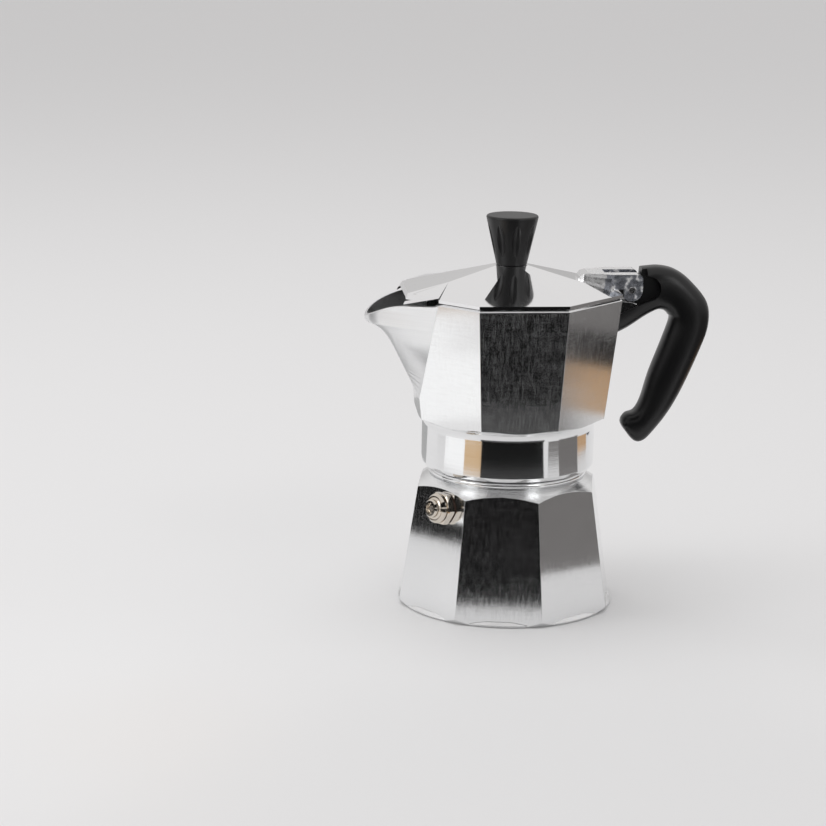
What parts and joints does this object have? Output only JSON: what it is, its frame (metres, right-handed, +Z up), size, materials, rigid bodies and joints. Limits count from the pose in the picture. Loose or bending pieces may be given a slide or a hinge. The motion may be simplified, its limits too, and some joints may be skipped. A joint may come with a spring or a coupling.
{
  "type": "moka pot",
  "caption": "Stovetop moka pot with faceted boiler and jug, screwed collar, keeled pouring spout, hinged lid with fluted knob, safety valve and open-ended handle.",
  "frame": {"origin": "centre of the boiler's base, on the surface the pot stands on", "axes": "+Z up along the pot's axis, +X towards the handle, -X towards the spout, -Y towards the jug's plain front flat"},
  "size_m": [0.1406, 0.0892, 0.16],
  "materials": {
    "boiler": "fine vertical brushing on the flats, polished shoulder and bead",
    "valve_washer": "matte red-brown sealing washer",
    "valve_body": "worn nickel plate over brass, turned",
    "valve_cap": "worn nickel plate over brass, turned",
    "valve_plunger": "bare turned brass",
    "valve_spring": "drawn spring wire",
    "funnel": "satin drawn sheet",
    "funnel_screen": "satin punched sheet",
    "gasket": "off-white silicone rubber",
    "filter_plate": "satin punched sheet",
    "collector": "fine vertical brushing on the flats, turned collar, polished spout",
    "column_cap": "satin cast",
    "lid": "mirror-polished",
    "knob": "satin black moulded phenolic",
    "knob_insert": "bare turned brass",
    "knob_screw": "zinc-plated",
    "knob_washer": "zinc-plated",
    "handle": "satin black moulded nylon",
    "hinge_pin": "ground rod"
  },
  "bodies": {
    "boiler": {"boiler": "boiler", "valve_washer": "valve_washer", "valve_body": "valve_body", "valve_cap": "valve_cap", "valve_spring": "valve_spring"},
    "plunger": {"valve_plunger": "valve_plunger"},
    "funnel": {"funnel": "funnel", "funnel_screen": "funnel_screen"},
    "seal": {"gasket": "gasket", "filter_plate": "filter_plate"},
    "collector": {"collector": "collector", "column_cap": "column_cap", "handle": "handle", "hinge_pin": "hinge_pin"},
    "lid": {"lid": "lid", "knob": "knob", "knob_insert": "knob_insert", "knob_screw": "knob_screw", "knob_washer": "knob_washer"}
  },
  "joints": [
    {"name": "plunger_travel", "type": "slide", "parent": "boiler", "child": "plunger", "axis": [-0.8137, -0.5635, 0.1426], "range_m": [0, 0.0012], "stiffness_N_per_m": 1500, "springref_m": -0.003, "deforming": ["valve_spring"]},
    {"name": "funnel_lift", "type": "slide", "parent": "boiler", "child": "funnel", "axis": [0, 0, 1], "range_m": [0, 0.07]},
    {"name": "thread_rise", "type": "slide", "parent": "funnel", "child": "seal", "axis": [0, 0, 1], "range_m": [0, 0.0075]},
    {"name": "collector_turn", "type": "hinge", "parent": "seal", "child": "collector", "pos_m": [0, 0, 0.07], "axis": [0, 0, 1], "range_deg": [0, 900]},
    {"name": "lid_hinge", "type": "hinge", "parent": "collector", "child": "lid", "pos_m": [0.0478, 0, 0.1305], "axis": [0, 1, 0], "range_deg": [0, 93]}
  ],
  "couplings": [
    {"joint": "thread_rise", "follows": "collector_turn", "m_per_rad": 0.00047746}
  ]
}
